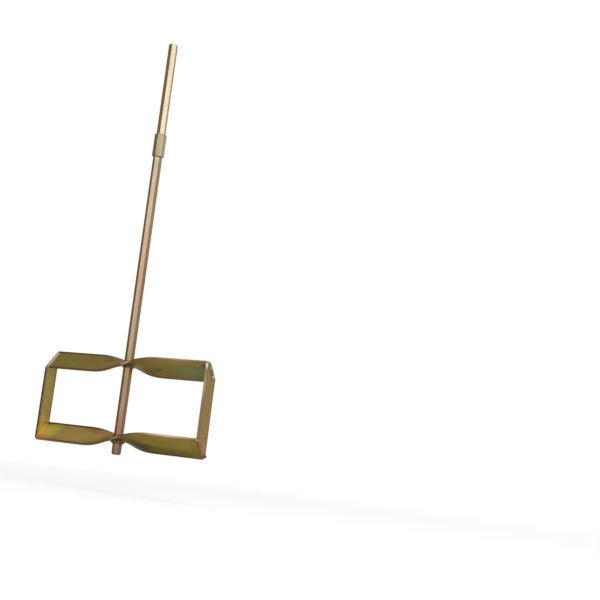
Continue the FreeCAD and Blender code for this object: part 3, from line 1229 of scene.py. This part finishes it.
@dataclass
class Welds:
    """The welds round the shaft and at the four corners.

    Attributes:
        bars: The twisted bars that they hold.
        flats: Width of the shaft across flats.
        leg: Size of a fillet, up the shaft and out from it.
        slim_leg: Size of the fillet under the top bar.
        ripple: Length of one ripple of a fillet.
        ripple_height: Height of one ripple of a fillet.
        crown: How far a fillet's face bulges between its ripples.
        hollow: How hollow a fillet's face is, 1 for a straight slope.
        corner_rows: Sections along a corner weld.
    """

    bars: tuple[TwistedBar, ...]
    flats: float = BAR_FLATS
    leg: float = 4.3 * MM
    slim_leg: float = 1.8 * MM
    ripple: float = 1.5 * MM
    ripple_height: float = 0.30 * MM
    crown: float = 0.05 * MM
    hollow: float = 1.3
    corner_rows: int = 64

    def shaft_radius(self, angle: float) -> float:
        """Gives the hexagonal shaft's radius at an angle about Z."""
        return self.flats / 2 / math.cos((angle + math.pi / 6) % (math.pi / 3) - math.pi / 6)

    def fillet(self, bar: TwistedBar, side: float, leg: float, seed: float) -> list[list[Vector]]:
        """Shapes one rippled fillet as outlines round the shaft.

        Args:
            bar: The bar it stands on.
            side: 1 for the upper face and -1 for the lower one.
            leg: Its size, up the shaft and out from it.
            seed: Where its unevenness is read.

        Returns:
            One closed outline for each step round the shaft.
        """
        steps, spans, sink = 180, 9, 0.5 * MM
        rows = []
        for step in range(steps):
            angle = 2.0 * math.pi * step / steps
            around = Vector((math.cos(angle), math.sin(angle), 0.0))
            uneven = noise.noise(around * 1.7 + Vector((seed, 0.0, 0.0)))
            length = angle * (self.flats / 2 + leg) / self.ripple
            wave = abs(math.sin(math.pi * (length + 0.35 * uneven)))
            inner = self.shaft_radius(angle)
            toe = self.flats / 2 / math.cos(math.pi / 6) + leg * (0.96 + 0.12 * uneven)
            leg_up = leg * (1.0 - 0.10 * uneven)
            outline = []
            for span in range(spans + 1):
                share = span / spans
                swell = math.sin(math.pi * share) * (self.ripple_height * wave + self.crown)
                radius = inner + (toe - inner) * share ** self.hollow + swell
                height = leg_up * (1.0 - share) ** self.hollow + swell
                x, y = radius * around.x, radius * around.y
                outline.append(Vector((x, y, bar.face_height(x, y, side) + side * height)))
            root = (inner - sink) * around
            for x, y in (outline[-1].xy, root.xy):
                outline.append(Vector((x, y, bar.face_height(x, y, side) - side * sink)))
            outline.append(Vector((root.x, root.y, outline[0].z)))
            rows.append(outline if side > 0 else outline[::-1])
        return rows

    def build_fillets(self) -> list[bpy.types.Object]:
        """Builds the fillets, one piece for the two on each bar.

        Returns:
            The pieces.
        """
        brown = WeldMetal("brown_weld", shade(74, 48, 26), shade(122, 90, 52)).make()
        pieces = []
        for number, bar in enumerate(self.bars):
            points, faces = [], []
            legs = {1.0: self.leg, -1.0: self.leg if bar is self.bars[1] else self.slim_leg}
            for side, leg in legs.items():
                rows = self.fillet(bar, side, leg, seed=7.0 * number + side)
                faces += grid_faces(len(rows), len(rows[0]), len(points), ring=True)
                points += [point for row in rows for point in row]
            piece = make_piece(bar.node + "_fillets", points, faces, brown, "agitator")
            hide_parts(bar.node + "_weld")
            pieces.append(piece)
        return pieces

    def corner(self, bar: TwistedBar, weld: CornerWeld) -> bpy.types.Object:
        """Builds the weld in the open corner between a twisted bar and a side bar.

        Args:
            bar: The twisted bar.
            weld: The weld's own shape and finish.

        Returns:
            The piece.
        """
        low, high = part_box(weld.node)
        side = 1.0 if high.x > 0 else -1.0
        upward = 1.0 if bar is self.bars[0] else -1.0
        inner = min(abs(low.x), abs(high.x))
        angle = bar.angle_at(side * inner)
        run = Vector((0.0, math.cos(angle), math.sin(angle)))
        flat = Vector((0.0, -math.sin(angle), math.cos(angle))) * upward
        points = []
        for row in range(self.corner_rows):
            share = 2.0 * row / (self.corner_rows - 1) - 1.0
            outline = weld.outline(bar, high.x - low.x, share)
            for out, up in outline if side * upward > 0 else outline[::-1]:
                place = run * (share * bar.width / 2) + flat * up
                points.append(Vector((side * (inner + out), place.y, bar.height + place.z)))
        faces = grid_faces(self.corner_rows, len(outline))
        piece = make_piece(
            weld.node + "_bead", points, faces, weld.metal.make(), "agitator")
        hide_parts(weld.node)
        return piece

    def build_corners(self) -> list[bpy.types.Object]:
        """Builds the four corner welds.

        Returns:
            The pieces.
        """
        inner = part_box("top_bar")[1].x
        # The top left weld is dark brown: painted shade along the rounded corner's outer side.
        shade_dark = WeldMetal("shade_dark_dressed_weld", shade(58, 40, 28), shade(104, 78, 52))
        grey = WeldMetal("grey_raised_weld", shade(66, 55, 40), shade(132, 118, 92), tints=(
            # Painted highlights on the bead's lumps.
            Tint(-4.2 * MM, inner + 4.5 * MM, 1.0 * MM, 3 * MM, shade(190, 176, 146)),
            Tint(3.6 * MM, inner + 3.5 * MM, 1.5 * MM, 4 * MM, shade(214, 202, 174), 0.8),
            Tint(10.6 * MM, inner + 3.0 * MM, 1.4 * MM, 4 * MM, shade(240, 232, 214), 0.9)))
        gold = WeldMetal("gold_dressed_weld", shade(150, 108, 62), shade(178, 134, 78))
        rosy = WeldMetal(
            "rosy_dressed_weld", shade(112, 84, 50), shade(138, 110, 68), seam=inner, tints=(
                Tint(8.0 * MM, inner + 2.0 * MM, 8.5 * MM, 4.5 * MM, shade(154, 114, 94), 0.85),
                # Painted highlight on the front corner.
                Tint(-10.8 * MM, inner + 0.6 * MM, 1.4 * MM, 1.8 * MM, shade(244, 230, 196), 0.95)))
        top, bottom = self.bars
        return [
            self.corner(top, CornerWeld("top_left_corner_weld", shade_dark, seed=1.0)),
            self.corner(top, CornerWeld(
                "top_right_corner_weld", grey, seed=2.0, near_round=2.2 * MM, far_round=1.5 * MM,
                proud=3.2 * MM)),
            self.corner(bottom, CornerWeld(
                "bottom_left_corner_weld", gold, seed=3.0, near_round=2.0 * MM)),
            self.corner(bottom, CornerWeld(
                "bottom_right_corner_weld", rosy, seed=4.0, far_round=2.8 * MM, proud=0.4 * MM)),
        ]

    @staticmethod
    def spatter(
        name: str, middle: Vector, radius: float, seed: float, metal: WeldMetal,
    ) -> bpy.types.Object:
        """Builds a lump of spatter.

        Args:
            name: The piece's name.
            middle: Its middle.
            radius: Its size.
            seed: Where its unevenness is read.
            metal: Its finish.

        Returns:
            The piece.
        """
        rows, columns, points = 12, 18, []
        for row in range(rows):
            lift = math.pi * (row + 0.5) / rows
            for column in range(columns):
                turn = 2.0 * math.pi * column / columns
                out = Vector((
                    math.sin(lift) * math.cos(turn), math.sin(lift) * math.sin(turn), -math.cos(lift)))
                bump = 1.0 + 0.30 * noise.noise(out * 1.2 + Vector((seed, 0.0, 0.0)))
                points.append(middle + out * (radius * bump))
        return make_piece(
            name, points, grid_faces(rows, columns), metal.make(), "agitator")

    def build_spatter(self) -> list[bpy.types.Object]:
        """Builds the lumps above the top bar and on the bottom right corner.

        Returns:
            The pieces.
        """
        # The pale lump by the shaft is spatter, and its pale colour is partly a painted highlight on
        # the top fillet.
        pale = WeldMetal("pale_spatter", shade(160, 146, 114), shade(196, 184, 152))
        rosy = WeldMetal("rosy_spatter", shade(54, 34, 24), shade(118, 84, 66))
        low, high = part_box("bottom_right_corner_weld")
        by_shaft = Vector((3.6 * MM, -4.0 * MM, self.bars[0].height + 6.0 * MM))
        on_corner = Vector((high.x - 0.7 * MM, high.y - 3.4 * MM, low.z + 4.6 * MM))
        return [
            self.spatter("shaft_spatter", by_shaft, 1.6 * MM, 5.0, pale),
            self.spatter("corner_spatter", on_corner, 2.8 * MM, 6.0, rosy),
        ]

    def build(self) -> list[bpy.types.Object]:
        """Builds the fillets, the corner welds and the spatter."""
        return [*self.build_fillets(), *self.build_corners(), *self.build_spatter()]


# -------------------------------------------------------------------- studio

@dataclass(frozen=True)
class SoftBox:
    """A square lamp that looks at the paddle.

    Attributes:
        name: Its name.
        place: Where it stands.
        size: Length of its side.
        watts: Its power.
    """

    name: str
    place: tuple[float, float, float]
    size: float
    watts: float

    def build(self, aim: Vector) -> None:
        """Builds the lamp.

        Args:
            aim: The point that it looks at.
        """
        lamp = bpy.data.lights.new(self.name, "AREA")
        lamp.shape = "SQUARE"
        lamp.size = self.size
        lamp.energy = self.watts
        holder = add_object(self.name, lamp)
        holder.location = self.place
        holder.rotation_euler = (aim - Vector(self.place)).to_track_quat("-Z", "Y").to_euler()


@dataclass
class Studio:
    """White floor, white surroundings, soft lamps and the camera.

    Attributes:
        floor_level: Height of the floor, below the travel of the joints.
        floor_half: Half the floor's side.
        room_light: Strength of the light that the surroundings throw.
        lamps: The lamps.
        eye: Where the camera stands.
        eye_turn: Its heading about Z.
        eye_lift: How far it looks up.
        eye_roll: How far it is rolled.
        lens: Its focal length in millimetres.
    """

    floor_level: float = -45 * MM
    floor_half: float = 4.0
    room_light: float = 0.30
    lamps: tuple[SoftBox, ...] = (
        SoftBox("key_lamp", (1.55, -0.62, 0.95), 1.3, 26.0),
        SoftBox("front_lamp", (0.45, -1.70, 0.70), 0.9, 12.0),
        SoftBox("top_lamp", (-0.15, 0.25, 1.90), 1.2, 14.0),
    )
    eye: tuple[float, float, float] = (0.8141, -1.0992, 0.0168)
    eye_turn: float = math.radians(28.12)
    eye_lift: float = math.radians(8.35)
    eye_roll: float = math.radians(6.79)
    lens: float = 66.0

    def build_floor(self) -> None:
        """Builds the floor, white to the eye and fading to pure white afar."""
        half, level = self.floor_half, self.floor_level
        mesh = bpy.data.meshes.new("floor")
        corners = ((-half, -half), (half, -half), (half, half), (-half, half))
        mesh.from_pydata([(x, y, level) for x, y in corners], [], [(0, 1, 2, 3)])
        material, book = new_material("white_floor")
        rays = book.node("ShaderNodeLightPath").outputs
        seen = Signal(book, rays["Is Camera Ray"]).most(Signal(book, rays["Is Glossy Ray"])).most(
            Signal(book, rays["Is Transmission Ray"]))
        far = book.distance(book.place(), (0.0, 0.0, level)).rise(0.25, 1.1)
        paper = book.node("ShaderNodeBsdfDiffuse", None, {"Color": shade(240, 240, 240)})
        glow = book.node("ShaderNodeEmission", None, {"Strength": 1.0})
        both = book.node("ShaderNodeMixShader", None, {
            0: seen * (0.72 + 0.28 * far), 1: paper.outputs[0], 2: glow.outputs[0]})
        book.node("ShaderNodeOutputMaterial", None, {0: both.outputs[0]})
        mesh.materials.append(material)
        floor = add_object("floor", mesh)

    def build_world(self) -> None:
        """Makes the white surroundings, which metal mirrors brighter on the right and in front."""
        world = bpy.data.worlds.new("studio")
        world.use_nodes = True
        bpy.context.scene.world = world
        book = NodeBook(world.node_tree)
        rays = book.node("ShaderNodeLightPath").outputs
        x, y, z = book.split(book.node("ShaderNodeTexCoord").outputs["Generated"])
        bright_side = (0.80 * x + 0.35 * y + 0.30 * z).rise(-0.75, 0.45)
        bright_front = (-0.35 * x - 0.94 * y).rise(0.78, 0.97) * 0.60
        clear = Signal(book, rays["Is Camera Ray"]).most(Signal(book, rays["Is Transmission Ray"]))
        seen = clear.most(Signal(book, rays["Is Glossy Ray"]) * bright_side.most(bright_front))
        white = shade(255, 255, 255)
        room = book.node("ShaderNodeBackground", None, {"Color": white, "Strength": self.room_light})
        backdrop = book.node("ShaderNodeBackground", None, {"Color": white, "Strength": 1.0})
        both = book.node(
            "ShaderNodeMixShader", None, {0: seen, 1: room.outputs[0], 2: backdrop.outputs[0]})
        book.node("ShaderNodeOutputWorld", None, {0: both.outputs[0]})

    def build_camera(self) -> None:
        """Builds the camera at its heading, lift and roll."""
        lens = bpy.data.cameras.new("camera")
        lens.lens = self.lens
        camera = add_object("camera", lens)
        heading = Euler((math.pi / 2 + self.eye_lift, 0.0, self.eye_turn)).to_matrix()
        turn = heading @ Matrix.Rotation(self.eye_roll, 3, "Z")
        camera.matrix_world = Matrix.Translation(self.eye) @ turn.to_4x4()
        bpy.context.scene.camera = camera

    def build(self) -> None:
        """Builds the whole studio."""
        self.build_floor()
        self.build_world()
        aim = (CAD_BOX[0] + CAD_BOX[1]) / 2
        for lamp in self.lamps:
            lamp.build(aim)
        self.build_camera()
        bpy.context.scene.view_settings.view_transform = "Standard"


def main() -> None:
    """Builds every sub-assembly in order, logs its pieces and builds the studio."""
    logging.basicConfig(level=logging.INFO, format="%(name)s: %(message)s")
    drive_line = DriveLine()
    agitator = AgitatorFrame()
    welds = Welds(agitator.bars)
    for make in (drive_line.dress, drive_line.build, agitator.dress, welds.build):
        for piece in make():
            LOG.info("%s is ready, in %s", piece.name, piece.active_material.name)
    Studio().build()
    LOG.info("the studio is ready")


if __name__ == "__main__":
    main()
